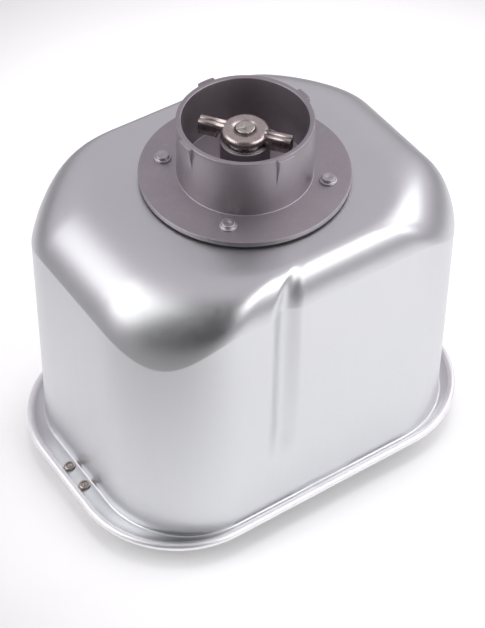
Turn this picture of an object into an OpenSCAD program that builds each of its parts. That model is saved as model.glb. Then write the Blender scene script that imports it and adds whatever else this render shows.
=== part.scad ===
// Bread machine pan, standing mouth down on its handle brackets.
// Origin: on the drive axis, on the surface that the pan stands on.
// X runs along the pan's long side, Y along its short side, Z up.

/* [Pan] */
// Outside length of the pan's walls
pan_l = 182.4; // [150:1:230]
// Outside width of the pan's walls
pan_w = 135.2; // [125:1:170]
// Height from the plane of the rim to the flat bottom's outer face
pan_h = 144.6; // [110:1:200]
// Thickness of the pressed sheet
sheet_t = 1.0; // [0.8:0.1:1.5]
// Radius of the upright corners
wall_corner_r = 44; // [34:1:52]
// How far the shoulder reaches in at the short ends
shoulder_end = 37; // [20:1:40]
// How far the shoulder reaches in at the long sides
shoulder_side = 12; // [6:1:20]
// Height of the shoulder at the short ends
end_drop = 32; // [20:1:50]
// Height of the shoulder at the long sides
side_drop = 22; // [12:1:40]
// Extra height of the shoulder round the corners
corner_drop = 14; // [0:1:20]
// Corner radius of the flat bottom
flat_corner_r = 36; // [25:1:44]
// Where the shoulder's curve ends at a crease in the wall, 0 for a smooth wall
crease_angle = 13; // [0:1:20]

/* [Rim] */
// How far the rim stands out past the walls at the short ends
rim_end_out = 10.8; // [9:0.1:14]
// How far the rim stands out past the walls at the long sides
rim_side_out = 4.9; // [4.8:0.1:8]
// Corner radius of the rim
rim_corner_r = 51; // [44:1:60]
// Diameter of the rolled bead
bead_d = 4.2; // [3.5:0.1:4.4]
// How far the rim's flat strip lies under the top of the bead
strip_sink = 0.8; // [0.2:0.1:2.4]

/* [Kneading flutes] */
// Distance of each flute from the middle of its long wall
flute_x = 24; // [10:1:30]
// Width of a flute
flute_w = 18; // [10:1:22]
// Depth of a flute
flute_depth = 3.2; // [1:0.1:5]
// Height above the rim at which a flute starts
flute_foot = 28; // [15:1:50]
// Height over which a flute grows to its full depth
flute_rise = 24; // [10:1:40]

/* [Drive base] */
// Diameter of the cast flange
flange_d = 94; // [88:1:104]
// Thickness of the flange
flange_t = 2.6; // [2:0.1:5]
// Outside diameter of the skirt
skirt_d = 60; // [52:1:66]
// Wall of the skirt
skirt_t = 2.35; // [2:0.05:4]
// Height of the skirt above the flange
skirt_h = 28.6; // [24:0.5:36]
// Height of the floor inside the skirt above the flange
floor_rise = 1.3; // [0.5:0.1:4]
// Diameter of the hub that holds the bearings
hub_d = 22; // [19:0.5:26]
// How far the hub's top lies under the skirt's rim
hub_sink = 11.4; // [9:0.1:16]
// Diameter of the spigot that passes the pan's bottom
spigot_d = 27; // [24:0.5:32]
// How far the spigot stands out inside the pan
spigot_out = 2; // [1:0.1:5]
// Gap round the spigot in the pan's bottom
spigot_gap = 0.2; // [0.1:0.05:0.5]
// Number of bayonet lugs round the skirt
lug_count = 4; // [2:1:6]
// Angle that each lug covers
lug_angle = 14; // [8:0.5:30]
// Height of a lug, with the slope that runs out into the skirt
lug_h = 14; // [8:0.5:18]
// Height of a lug's upright part, under the skirt's rim
lug_face_h = 2.5; // [1:0.1:5]
// How far a lug stands out from the skirt
lug_out = 1.6; // [1:0.1:4]

/* [Base joint] */
// Thickness of the gasket under the flange
gasket_t = 1.0; // [0.6:0.1:2]
// How far the gasket's edge stays inside the flange
gasket_inset = 0.9; // [0.5:0.1:3]
// Number of rivets through the flange
base_rivet_count = 4; // [3:1:8]
// Diameter of the circle of rivets
base_rivet_pcd = 74.2; // [70:0.1:84]
// Diameter of a rivet's shank
rivet_d = 4; // [3:0.5:5]
// Gap round a rivet's shank
rivet_gap = 0.1; // [0.05:0.05:0.3]
// Diameter of a base rivet's head
base_head_d = 7.8; // [6:0.1:9]
// Height of a base rivet's head
base_head_h = 2.1; // [1:0.1:3]

/* [Bearing] */
// Diameter of the drive shaft
shaft_d = 8; // [6:0.5:10]
// Running clearance between the shaft and what it turns in, on the radius
run_gap = 0.03; // [0.01:0.01:0.1]
// Outside diameter of the bearing bushes
bush_d = 13; // [11:0.5:14]
// Length of a bush
bush_l = 6; // [4:0.5:8]
// Outside diameter of the shaft seal
seal_d = 19; // [16:0.5:20]
// Width of the shaft seal
seal_w = 5.5; // [4:0.5:7]
// Depth of the space for the circlip and washer above the seal
clip_space = 2.4; // [2.4:0.1:4]
// Thickness of the washers and of the circlip
washer_t = 0.8; // [0.5:0.1:1]
// End play beside each washer
end_gap = 0.1; // [0.05:0.05:0.3]
// Gap between pieces that are fixed to the shaft and the shaft
fixed_gap = 0.02; // [0.01:0.01:0.05]

/* [Shaft ends] */
// Length of shaft inside the pan, which carries the kneading blade
blade_end = 34; // [20:1:50]
// Length of the flat on the blade end
blade_flat_l = 14; // [8:1:14]
// Width of the groove above the blade's seat
seat_groove_w = 0.8; // [0.6:0.1:1]
// Depth of the groove above the blade's seat
seat_groove_depth = 0.3; // [0.2:0.05:0.5]
// Distance of the flats from the shaft's axis
flat_from_axis = 3.3; // [2.5:0.1:3.6]

/* [Drive coupling] */
// Diameter of the coupling's disc
disc_d = 21; // [18:0.5:26]
// Thickness of the coupling's disc
disc_t = 4.8; // [3:0.1:6]
// Distance between the tips of the wings
wing_span = 42; // [34:0.5:46]
// Width of a wing
wing_w = 5.4; // [4:0.1:7]
// Height of a wing
wing_h = 7.2; // [5:0.1:9]
// Angle of the wings from the pan's long side
wing_turn = -53; // [-90:1:90]
// Diameter of the staked end of the shaft
stake_d = 8.6; // [8:0.1:10]
// Height of the staked end
stake_h = 0.6; // [0.3:0.1:1]

/* [Handle] */
// Diameter of the handle's wire
wire_d = 3.8; // [3:0.1:4.5]
// Gap round the wire in its eyes
eye_gap = 0.25; // [0.15:0.05:0.5]
// Distance of the eyes from the plane of the rim
eye_drop = 7.4; // [7:0.1:9]
// How far the brackets stand out from the plane of the rim
bracket_out = 12; // [11:0.5:16]
// Width of a bracket
bracket_w = 32; // [24:1:40]
// Thickness of a bracket
bracket_t = 1.5; // [1:0.1:2]
// Distance between the two rivets of a bracket
bracket_rivet_gap = 13.8; // [10:0.1:20]
// How far the two rivets' middle lies towards +Y from the eye
bracket_rivet_shift = -1.9; // [-4:0.1:4]
// Diameter of a bracket rivet
bracket_rivet_d = 3.2; // [2.8:0.1:3.6]
// Distance from the eyes to the handle's grip
handle_reach = 64; // [50:1:66]
// Radius of the two bends beside the grip
handle_bend_r = 26; // [15:1:40]
// Radius of the small bends beside the eyes
hook_bend_r = 5; // [4:0.5:8]

/* [Hidden] */
$fn = 96;
eps = 0.01;

// Heights, from the standing surface up
rim_z = bracket_out;
pan_top_z = rim_z + pan_h;
flange_z = pan_top_z + gasket_t;
flange_top_z = flange_z + flange_t;
skirt_top_z = flange_top_z + skirt_h;
floor_z = flange_top_z + floor_rise;
hub_top_z = skirt_top_z - hub_sink;
spigot_z = pan_top_z - sheet_t - spigot_out;
seal_top_z = spigot_z + seal_w;
bush_z = seal_top_z + clip_space;
coupling_z = hub_top_z + washer_t + 2 * end_gap;
coupling_boss_h = 0.8;
disc_z = coupling_z + coupling_boss_h;
disc_top_z = disc_z + disc_t;
shaft_z = pan_top_z - sheet_t - blade_end;

// Radii
flange_r = flange_d / 2;
skirt_r = skirt_d / 2;
spigot_r = spigot_d / 2;
shaft_r = shaft_d / 2;
run_r = shaft_r + run_gap;
clip_space_r = bush_d / 2 + 0.9;
clip_groove = 0.6;

// Pan outline: half sizes of the walls and of the rim's bead
half_l = pan_l / 2;
half_w = pan_w / 2;
bead_r = bead_d / 2;
rim_half_l = half_l + rim_end_out;
rim_half_w = half_w + rim_side_out;
fillet_max = 1.2;
strip_z = bead_d - strip_sink;

// Stations round the pan: direction of the wall's normal, then the signs or
// fractions that place the station on the straight runs
corner_steps = 8;
flute_u = flute_x / (half_l - wall_corner_r);
flute_half_u = flute_w / 2 / (half_l - wall_corner_r);
function corner(t0, u, v) = [for (k = [0:corner_steps]) [t0 + 90 * k / corner_steps, u, v, 0]];
function flute_side(t, v) = [
  for (k = [-1:0.5:1]) [t, v * flute_u - v * k * flute_half_u, v, (1 + cos(180 * k)) / 2]
];
stations = concat(
  corner(0, 1, 1), flute_side(90, 1), corner(90, -1, 1),
  corner(180, -1, -1), flute_side(270, -1), corner(270, 1, -1)
);

function normal(s) = [cos(s[0]), sin(s[0])];
function outline(a, b, r, s) = [s[1] * (a - r) + r * cos(s[0]), s[2] * (b - r) + r * sin(s[0])];
function drop(s) = end_drop * pow(cos(s[0]), 2) + side_drop * pow(sin(s[0]), 2)
  + corner_drop * pow(sin(2 * s[0]), 2);
function ease(x) = let (c = min(max(x, 0), 1)) c * c * (3 - 2 * c);

// Height of the crease above the rim, and the share of the shoulder's reach that the walls take
function crease_h(s) = pan_h - drop(s) * (1 - sin(crease_angle));
crease_d = 1 - cos(crease_angle);

// A point of the shoulder: a runs from the crease to 90 at the flat bottom
function shoulder_point(s, a, inset) =
  let (
    d = 1 - cos(a),
    p = outline(
      half_l - inset - shoulder_end * d,
      half_w - inset - shoulder_side * d,
      wall_corner_r - inset + (flat_corner_r - wall_corner_r) * d, s),
    sunk = flute_depth * s[3] * pow(cos(a), 2)
  )
  [p[0] - normal(s)[0] * sunk, p[1] - normal(s)[1] * sunk,
    pan_top_z - inset - drop(s) * (1 - sin(a))];

// A point of the wall at height h above the rim. The walls lean in from the rim to the crease
function wall_point(s, h, inset) =
  let (
    d = crease_d * h / crease_h(s),
    p = outline(
      half_l - inset - shoulder_end * d,
      half_w - inset - shoulder_side * d,
      wall_corner_r - inset + (flat_corner_r - wall_corner_r) * d, s),
    sunk = flute_depth * s[3] * ease((h - flute_foot) / flute_rise)
  )
  [p[0] - normal(s)[0] * sunk, p[1] - normal(s)[1] * sunk, rim_z + h];

// A point of the bead, at angle f from the horizontal
function bead_point(s, f) =
  let (c = outline(rim_half_l - bead_r, rim_half_w - bead_r, rim_corner_r - bead_r, s))
  [c[0] + bead_r * cos(f) * cos(s[0]), c[1] + bead_r * cos(f) * sin(s[0]), rim_z + bead_r + bead_r * sin(f)];

// Width of the strip between the wall and the bead, and the fillet that fits in it
function strip_w(s) =
  let (w = outline(half_l, half_w, wall_corner_r, s), b = bead_point(s, 180))
  norm([b[0] - w[0], b[1] - w[1]]);
function fillet_r(s) = min(fillet_max, 0.8 * strip_w(s));
function fillet_point(s, a, inset) =
  let (w = outline(half_l, half_w, wall_corner_r, s), f = fillet_r(s), r = f + inset)
  [w[0] + normal(s)[0] * (f - r * cos(a)), w[1] + normal(s)[1] * (f - r * cos(a)),
    rim_z + strip_z + f - r * sin(a)];

shoulder_angles = [for (k = [0:6]) 90 - (90 - crease_angle) * k / 6];
// The bead's section runs from the strip's top face round to its underside
bead_start = 180 + asin((bead_r - strip_z) / bead_r);
bead_end = asin(min(1, (bead_r - strip_z + sheet_t) / bead_r)) - 180;
bead_steps = 9;
wall_heights = [flute_foot + flute_rise, flute_foot + flute_rise / 2, flute_foot];
function rings(s) = concat(
  [for (a = shoulder_angles) shoulder_point(s, a, 0)],
  [for (h = wall_heights) wall_point(s, h, 0)],
  [for (a = [0, 45, 90]) fillet_point(s, a, 0)],
  [for (k = [0:bead_steps]) bead_point(s, bead_start + (bead_end - bead_start) * k / bead_steps)],
  [for (a = [90, 45, 0]) fillet_point(s, a, sheet_t)],
  [for (k = [len(wall_heights) - 1:-1:0]) wall_point(s, wall_heights[k], sheet_t)],
  [for (k = [len(shoulder_angles) - 1:-1:0]) shoulder_point(s, shoulder_angles[k], sheet_t)]
);

module shell_solid() {
  n = len(stations);
  m = len(rings(stations[0]));
  points = [for (s = stations) each rings(s)];
  bands = [
    for (i = [0:n - 1], k = [0:m - 2])
    let (a = i * m + k, b = (i + 1) % n * m + k)
    each [[a, a + 1, b + 1], [a, b + 1, b]]
  ];
  outer_cap = [for (i = [0:n - 1]) (n - 1 - i) * m];
  inner_cap = [for (i = [0:n - 1]) i * m + m - 1];
  polyhedron(points, concat(bands, [outer_cap, inner_cap]), convexity = 8);
}

module at_base_rivets() {
  for (k = [0:base_rivet_count - 1])
    rotate([0, 0, 180 / base_rivet_count + 360 * k / base_rivet_count])
      translate([base_rivet_pcd / 2, 0, 0])
        children();
}

// Centre of the bracket rivets, half way across the flat of the strip
strip_end = rim_half_l - bead_r + bead_r * cos(bead_start);
bracket_rivet_x = (half_l + fillet_max + strip_end) / 2;
module at_bracket_rivets(side) {
  for (k = [-1, 1])
    translate([side * bracket_rivet_x, bracket_rivet_shift + k * bracket_rivet_gap / 2, 0])
      children();
}

module pan_shell() {
  color("#b9bcc0")
    difference() {
      shell_solid();
      translate([0, 0, pan_top_z - 2 * sheet_t])
        cylinder(r = spigot_r + spigot_gap, h = 3 * sheet_t);
      at_base_rivets()
        translate([0, 0, pan_top_z - 2 * sheet_t])
          cylinder(r = rivet_d / 2 + rivet_gap, h = 3 * sheet_t);
      for (side = [-1, 1])
        at_bracket_rivets(side)
          translate([0, 0, rim_z - 1])
            cylinder(r = bracket_rivet_d / 2 + rivet_gap, h = strip_z + 2);
    }
}

// The cast base: flange, skirt, floor, hub and spigot in one profile
module base_profile() {
  edge = 0.5;
  fillet = 1.2;
  polygon([
    [bush_d / 2, bush_z], [clip_space_r, bush_z], [clip_space_r, seal_top_z],
    [seal_d / 2, seal_top_z], [seal_d / 2, spigot_z + edge], [seal_d / 2 + edge, spigot_z],
    [spigot_r - edge, spigot_z], [spigot_r, spigot_z + edge], [spigot_r, flange_z],
    [flange_r, flange_z], [flange_r, flange_top_z - edge], [flange_r - edge, flange_top_z],
    [skirt_r + fillet, flange_top_z], [skirt_r + 0.3 * fillet, flange_top_z + 0.3 * fillet],
    [skirt_r, flange_top_z + fillet], [skirt_r, skirt_top_z - edge / 2],
    [skirt_r - edge / 2, skirt_top_z], [skirt_r - skirt_t + edge / 2, skirt_top_z],
    [skirt_r - skirt_t, skirt_top_z - edge / 2], [skirt_r - skirt_t, floor_z + fillet],
    [skirt_r - skirt_t - fillet, floor_z], [hub_d / 2 + fillet, floor_z],
    [hub_d / 2, floor_z + fillet], [hub_d / 2, hub_top_z - edge],
    [hub_d / 2 - edge, hub_top_z], [bush_d / 2, hub_top_z]
  ]);
}

// A bayonet lug: a wedge that is thickest at the skirt's rim
module lug() {
  root_r = skirt_r - skirt_t / 2;
  rotate([0, 0, -lug_angle / 2])
    rotate_extrude(angle = lug_angle)
      translate([0, skirt_top_z])
        polygon([
          [root_r, 0], [root_r, -lug_h], [skirt_r, -lug_h],
          [skirt_r + lug_out, -lug_face_h], [skirt_r + lug_out, 0]
        ]);
}

module drive_base() {
  color("#8c858c")
    difference() {
      union() {
        rotate_extrude()
          base_profile();
        for (k = [0:lug_count - 1])
          rotate([0, 0, 360 * k / lug_count])
            lug();
      }
      at_base_rivets()
        translate([0, 0, flange_z - 1])
          cylinder(r = rivet_d / 2 + rivet_gap, h = flange_t + 2);
    }
}

module base_gasket() {
  color("#2b2b2d")
    difference() {
      translate([0, 0, pan_top_z])
        cylinder(r = flange_r - gasket_inset, h = gasket_t);
      translate([0, 0, pan_top_z - 1])
        cylinder(r = spigot_r + spigot_gap, h = gasket_t + 2);
      at_base_rivets()
        translate([0, 0, pan_top_z - 1])
          cylinder(r = rivet_d / 2 + rivet_gap, h = gasket_t + 2);
    }
}

// A base rivet: flat head inside the pan, shank, and the closed head on the flange
module base_rivet() {
  inner_z = pan_top_z - sheet_t;
  inner_head_h = 1.2;
  inner_head_r = base_head_d / 2 + 0.4;
  ring_h = 0.7;
  top_r = base_head_d / 2 - 0.9;
  rotate_extrude()
    polygon([
      [0, inner_z - inner_head_h], [inner_head_r - 0.5, inner_z - inner_head_h],
      [inner_head_r, inner_z - inner_head_h + 0.5], [inner_head_r, inner_z],
      [rivet_d / 2, inner_z], [rivet_d / 2, flange_top_z],
      [base_head_d / 2, flange_top_z], [base_head_d / 2, flange_top_z + ring_h],
      [top_r + 0.2, flange_top_z + ring_h + 0.2], [top_r, flange_top_z + base_head_h - 0.4],
      [top_r - 0.5, flange_top_z + base_head_h], [0, flange_top_z + base_head_h]
    ]);
}

module base_rivets() {
  color("#9a959a")
    at_base_rivets()
      base_rivet();
}

module ring(outer, inner, z, h) {
  translate([0, 0, z])
    difference() {
      cylinder(r = outer, h = h);
      translate([0, 0, -1])
        cylinder(r = inner, h = h + 2);
    }
}

module lower_bush() {
  color("#b08a4a")
    ring(bush_d / 2, run_r, bush_z, bush_l);
}

module upper_bush() {
  color("#b08a4a")
    ring(bush_d / 2, run_r, hub_top_z - bush_l, bush_l);
}

module oil_felt() {
  color("#c9bf9f")
    ring(bush_d / 2, shaft_r + 0.4, bush_z + bush_l, hub_top_z - 2 * bush_l - bush_z);
}

// Seal: a rubber ring with a lip on the shaft, round a steel case
case_t = 0.6;
lip_t = 1.2;
spring_r = 0.55;
spring_ring_r = run_r + lip_t + spring_r;
spring_z = spigot_z + 1.6;
web_z = seal_top_z - 1;
web_t = 0.8;
module shaft_seal() {
  case_r = seal_d / 2 - 1;
  color("#a8402e")
    difference() {
      rotate_extrude()
        polygon([
          [seal_d / 2, spigot_z], [seal_d / 2, seal_top_z], [case_r, seal_top_z],
          [case_r, web_z], [run_r + 0.3, web_z], [run_r + 0.3, web_z - web_t],
          [run_r, spigot_z + 1.2], [run_r + 0.5, spigot_z + 0.4],
          [run_r + lip_t + 0.5, spigot_z + 0.6], [run_r + lip_t + 0.1, web_z - web_t],
          [case_r, web_z - web_t], [case_r, spigot_z]
        ]);
      rotate_extrude()
        translate([spring_ring_r, spring_z])
          circle(r = spring_r);
    }
}

module seal_case() {
  color("#8f9296")
    ring(seal_d / 2 - 1, shaft_r + 2.4, web_z, case_t);
}

module seal_spring() {
  color("#a7aaad")
    rotate_extrude()
      translate([spring_ring_r, spring_z])
        circle(r = spring_r - 0.02);
}

// A thin cup pressed over the spigot, which keeps the seal in its pocket
module seal_retainer() {
  cup_t = 0.5;
  hole_r = shaft_r + 2.2;
  brim_z = spigot_z + spigot_out - 0.3;
  color("#b4b6b8")
    rotate_extrude()
      polygon([
        [hole_r, spigot_z - cup_t], [spigot_r, spigot_z - cup_t], [spigot_r + cup_t, spigot_z],
        [spigot_r + cup_t, brim_z], [spigot_r, brim_z], [spigot_r, spigot_z], [hole_r, spigot_z]
      ]);
}

module flat_cut(z, h) {
  translate([flat_from_axis, -shaft_d, z])
    cube([shaft_d, 2 * shaft_d, h]);
}

module drive_shaft() {
  nose = 0.8;
  groove_z = bush_z - 2 * end_gap - 2 * washer_t;
  seat_groove_z = spigot_z - 0.8 - seat_groove_w;
  seat_groove_r = shaft_r - seat_groove_depth;
  color("#a9a9a6")
    union() {
      difference() {
        rotate_extrude()
          polygon([
            [0, shaft_z], [shaft_r - nose, shaft_z], [shaft_r, shaft_z + nose],
            [shaft_r, seat_groove_z], [seat_groove_r, seat_groove_z],
            [seat_groove_r, seat_groove_z + seat_groove_w], [shaft_r, seat_groove_z + seat_groove_w],
            [shaft_r, groove_z], [shaft_r - clip_groove, groove_z],
            [shaft_r - clip_groove, groove_z + washer_t], [shaft_r, groove_z + washer_t],
            [shaft_r, disc_top_z], [0, disc_top_z]
          ]);
        flat_cut(shaft_z - 1, blade_flat_l + 1);
        rotate([0, 0, wing_turn])
          flat_cut(coupling_z, disc_top_z - coupling_z + 1);
      }
      difference() {
        translate([0, 0, disc_top_z])
          rotate_extrude()
            polygon([[0, 0], [stake_d / 2, 0], [stake_d / 2 - 0.5, stake_h], [0, stake_h + 0.2]]);
        for (k = [0:3])
          rotate([0, 0, wing_turn + 45 + 90 * k])
            translate([stake_d / 2 - 1.6, 0, disc_top_z + 0.1])
              cylinder(r = 0.55, h = 1);
      }
    }
}

module shaft_circlip() {
  color("#77797c")
    difference() {
      ring(shaft_r + 1.3, shaft_r - clip_groove + fixed_gap, bush_z - 2 * end_gap - 2 * washer_t, washer_t);
      translate([0, -1.2, bush_z - 2 * clip_space])
        cube([shaft_d, 2.4, 2 * clip_space]);
    }
}

module inner_washer() {
  color("#9b9da0")
    ring(clip_space_r - 0.4, shaft_r + fixed_gap, bush_z - end_gap - washer_t, washer_t);
}

module outer_washer() {
  color("#c4c5c6")
    ring(hub_d / 2 - 1, shaft_r + fixed_gap, hub_top_z + end_gap, washer_t);
}

// One wing: a tall bar with two rounded rails along its top
module wing() {
  rail_r = 1.35;
  root_r = disc_d / 2 - 1.5;
  tip_r = wing_span / 2;
  under_r = hub_d / 2 + 1.2;
  translate([root_r, -wing_w / 2, disc_z])
    cube([tip_r - root_r, wing_w, disc_t - rail_r]);
  translate([under_r, -wing_w / 2, disc_top_z - wing_h])
    cube([tip_r - under_r, wing_w, wing_h - rail_r]);
  for (y = [-1, 1] * (wing_w / 2 - rail_r))
    translate([root_r, y, disc_top_z - rail_r])
      rotate([0, 90, 0])
        cylinder(r = rail_r, h = tip_r - root_r);
}

module drive_coupling() {
  edge_r = disc_t / 2;
  color("#b3aaa2")
    difference() {
      union() {
        translate([0, 0, coupling_z])
          cylinder(r = hub_d / 2 - 3, h = coupling_boss_h + eps);
        rotate_extrude()
          union() {
            translate([0, disc_z])
              square([disc_d / 2 - edge_r, disc_t]);
            translate([disc_d / 2 - edge_r, disc_z + edge_r])
              circle(r = edge_r);
          }
        for (k = [0, 1])
          rotate([0, 0, wing_turn + 180 * k])
            wing();
      }
      rotate([0, 0, wing_turn])
        difference() {
          translate([0, 0, coupling_z - 1])
            cylinder(r = shaft_r + fixed_gap, h = disc_t + 3);
          translate([fixed_gap, 0, 0])
            flat_cut(coupling_z - 2, disc_t + 6);
        }
    }
}

// Bracket: a foot under the rim's strip and a tab with the eye
tab_x = half_l - sheet_t - 1.4;
eye_z = rim_z - eye_drop;
module handle_bracket() {
  foot_z = rim_z + strip_z - sheet_t - bracket_t;
  foot_end = rim_half_l - bead_d - 0.3;
  difference() {
    union() {
      translate([tab_x, -bracket_w / 2, foot_z])
        cube([foot_end - tab_x, bracket_w, bracket_t]);
      translate([tab_x, -bracket_w / 2, 0])
        cube([bracket_t, bracket_w, foot_z + bracket_t]);
    }
    at_bracket_rivets(1)
      translate([0, 0, foot_z - 1])
        cylinder(r = bracket_rivet_d / 2 + rivet_gap, h = bracket_t + 2);
    translate([tab_x - 1, 0, eye_z])
      rotate([0, 90, 0])
        cylinder(r = wire_d / 2 + eye_gap, h = bracket_t + 2);
  }
}

module handle_bracket_left() {
  color("#b7b9bb")
    mirror([1, 0, 0])
      handle_bracket();
}

module handle_bracket_right() {
  color("#b7b9bb")
    handle_bracket();
}

// A blind rivet: raised head on the strip round the stub of its pin, set end under the bracket
module bracket_rivet() {
  head_r = bracket_rivet_d / 2 + 1.2;
  head_h = 1.1;
  hole_r = bracket_rivet_d / 2 + 0.1;
  pin_r = 1.3;
  set_r = bracket_rivet_d / 2 + 0.7;
  set_h = 1.4;
  top_z = rim_z + strip_z;
  foot_z = top_z - sheet_t - bracket_t;
  rotate_extrude()
    polygon([
      [0, foot_z - set_h], [set_r - 0.6, foot_z - set_h], [set_r, foot_z - 0.7 * set_h],
      [set_r, foot_z], [bracket_rivet_d / 2, foot_z], [bracket_rivet_d / 2, top_z],
      [head_r, top_z], [head_r, top_z + 0.3 * head_h], [head_r - 0.5, top_z + head_h],
      [hole_r, top_z + head_h], [hole_r, top_z + 0.2], [pin_r, top_z + 0.2],
      [pin_r, top_z + head_h - 0.2], [0, top_z + head_h - 0.2]
    ]);
}

module bracket_rivets() {
  color("#8e8a86")
    for (side = [-1, 1])
      at_bracket_rivets(side)
        bracket_rivet();
}

// The handle lies folded towards +Y, with its grip on the standing surface
handle_tilt = asin((eye_z - wire_d / 2) / handle_reach);
leg_x = tab_x - 4.6;
module wire(l) {
  rotate([0, 90, 0])
    cylinder(r = wire_d / 2, h = l);
}

module bend(r, turn) {
  rotate_extrude(angle = turn)
    translate([r, 0])
      circle(r = wire_d / 2);
}

// Half of the handle: end head, pin, hook bend, leg, large bend and half the grip
module handle_half() {
  pin_end = tab_x + bracket_t + 1.6;
  translate([leg_x, 0, 0]) {
    translate([hook_bend_r, 0, 0])
      wire(pin_end - leg_x - hook_bend_r);
    translate([pin_end - leg_x - 0.8, 0, 0])
      rotate([0, 90, 0])
        cylinder(r = wire_d / 2 + 0.7, h = 0.8);
    translate([hook_bend_r, hook_bend_r, 0])
      rotate([0, 0, 180])
        bend(hook_bend_r, 90);
    translate([0, hook_bend_r, 0])
      rotate([-90, 0, 0])
        cylinder(r = wire_d / 2, h = handle_reach - handle_bend_r - hook_bend_r);
    translate([-handle_bend_r, handle_reach - handle_bend_r, 0])
      bend(handle_bend_r, 90);
    translate([-leg_x, handle_reach, 0])
      wire(leg_x - handle_bend_r);
  }
}

module carry_handle() {
  color("#a3a5a8")
    translate([0, 0, eye_z])
      rotate([-handle_tilt, 0, 0])
        union() {
          handle_half();
          mirror([1, 0, 0])
            handle_half();
        }
}

pan_shell();
drive_base();
base_gasket();
base_rivets();
lower_bush();
upper_bush();
oil_felt();
shaft_seal();
seal_case();
seal_spring();
seal_retainer();
drive_shaft();
shaft_circlip();
inner_washer();
outer_washer();
drive_coupling();
handle_bracket_left();
handle_bracket_right();
bracket_rivets();
carry_handle();
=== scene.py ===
"""Bread machine pan, upturned, with its cast drive base uppermost."""

from math import asin, atan2, cos, degrees, hypot, pi, radians, sin

import bmesh
import bpy
from mathutils import Euler, Matrix, Vector


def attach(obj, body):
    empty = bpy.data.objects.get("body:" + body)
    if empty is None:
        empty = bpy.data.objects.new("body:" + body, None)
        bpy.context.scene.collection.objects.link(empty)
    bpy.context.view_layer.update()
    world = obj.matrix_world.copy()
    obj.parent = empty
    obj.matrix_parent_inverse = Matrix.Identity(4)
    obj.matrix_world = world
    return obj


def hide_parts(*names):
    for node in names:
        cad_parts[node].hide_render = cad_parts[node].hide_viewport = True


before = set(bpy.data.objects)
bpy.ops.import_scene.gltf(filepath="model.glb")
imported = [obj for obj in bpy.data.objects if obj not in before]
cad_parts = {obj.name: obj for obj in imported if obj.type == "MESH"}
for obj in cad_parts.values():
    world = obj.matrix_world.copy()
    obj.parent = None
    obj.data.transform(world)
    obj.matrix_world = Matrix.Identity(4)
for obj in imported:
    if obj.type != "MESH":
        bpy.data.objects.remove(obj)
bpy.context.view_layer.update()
MM = 0.001
# Corners of a mesh that are nearer than this are one, in millimetres
MERGE = 0.0005

# ---------------------------------------------------------------- sizes, in millimetres
# The pan: walls, shoulder and flat bottom
PAN_L, PAN_W, PAN_H = 182.4, 135.2, 144.6
SHEET_T = 1.0
WALL_CORNER_R = 44.0
SHOULDER_END, SHOULDER_SIDE = 37.0, 12.0
END_DROP, SIDE_DROP, CORNER_DROP = 32.0, 22.0, 14.0
FLAT_CORNER_R = 36.0
CREASE_ANGLE, CREASE_ROUND = 13.0, 0.6
# The rim: flat strip and rolled bead
RIM_END_OUT, RIM_SIDE_OUT = 10.8, 4.9
RIM_CORNER_R = 51.0
BEAD_R = 2.1
STRIP_Z = 3.4
FILLET_MAX = 1.2
# The kneading flutes
FLUTE_X, FLUTE_W, FLUTE_DEPTH = 24.0, 18.0, 3.2
FLUTE_FOOT, FLUTE_RISE = 28.0, 24.0
# The cast base
FLANGE_R, FLANGE_T = 47.0, 2.6
SKIRT_R, SKIRT_T, SKIRT_H = 30.0, 2.35, 28.6
FLOOR_RISE = 1.3
HUB_R, HUB_SINK = 11.0, 11.4
SPIGOT_R, SPIGOT_OUT = 13.5, 2.0
SPIGOT_GAP = 0.2
LUG_COUNT, LUG_ANGLE, LUG_OUT = 4, 14.0, 1.6
LUG_H, LUG_FACE_H = 14.0, 2.5
GASKET_T = 1.0
RIVET_COUNT, RIVET_PCD, RIVET_R = 4, 74.2, 2.0
HEAD_R, HEAD_H = 3.9, 2.1
# Bearings, seal and shaft
BUSH_R, BUSH_L = 6.5, 6.0
SEAL_R, SEAL_W = 9.5, 5.5
CLIP_SPACE = 2.4
WASHER_T, END_GAP = 0.8, 0.1
SHAFT_R = 4.0
BLADE_END, BLADE_FLAT_L, FLAT_FROM_AXIS = 34.0, 14.0, 3.3
SEAT_GROOVE_W, SEAT_GROOVE_DEPTH = 0.8, 0.3
# The coupling
DISC_R, DISC_T = 10.5, 4.8
WING_SPAN, WING_W, WING_H = 42.0, 5.4, 7.2
WING_TURN = -53.0
STAKE_R, STAKE_H = 4.3, 0.6
# The handle's brackets
BRACKET_OUT = 12.0
BRACKET_T = 1.5
BRACKET_RIVET_GAP, BRACKET_RIVET_SHIFT, BRACKET_RIVET_R = 13.8, -1.9, 1.6

RIM_Z = BRACKET_OUT
PAN_TOP_Z = RIM_Z + PAN_H
FLANGE_Z = PAN_TOP_Z + GASKET_T
FLANGE_TOP_Z = FLANGE_Z + FLANGE_T
SKIRT_TOP_Z = FLANGE_TOP_Z + SKIRT_H
FLOOR_Z = FLANGE_TOP_Z + FLOOR_RISE
HUB_TOP_Z = SKIRT_TOP_Z - HUB_SINK
SPIGOT_Z = PAN_TOP_Z - SHEET_T - SPIGOT_OUT
SEAL_TOP_Z = SPIGOT_Z + SEAL_W
BUSH_Z = SEAL_TOP_Z + CLIP_SPACE
COUPLING_Z = HUB_TOP_Z + WASHER_T + 2 * END_GAP
DISC_Z = COUPLING_Z + 0.8
DISC_TOP_Z = DISC_Z + DISC_T
SHAFT_Z = PAN_TOP_Z - SHEET_T - BLADE_END
HALF_L, HALF_W = PAN_L / 2, PAN_W / 2
RIM_HALF_L, RIM_HALF_W = HALF_L + RIM_END_OUT, HALF_W + RIM_SIDE_OUT
BEAD_START = 180 + degrees(asin((BEAD_R - STRIP_Z) / BEAD_R))
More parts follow.
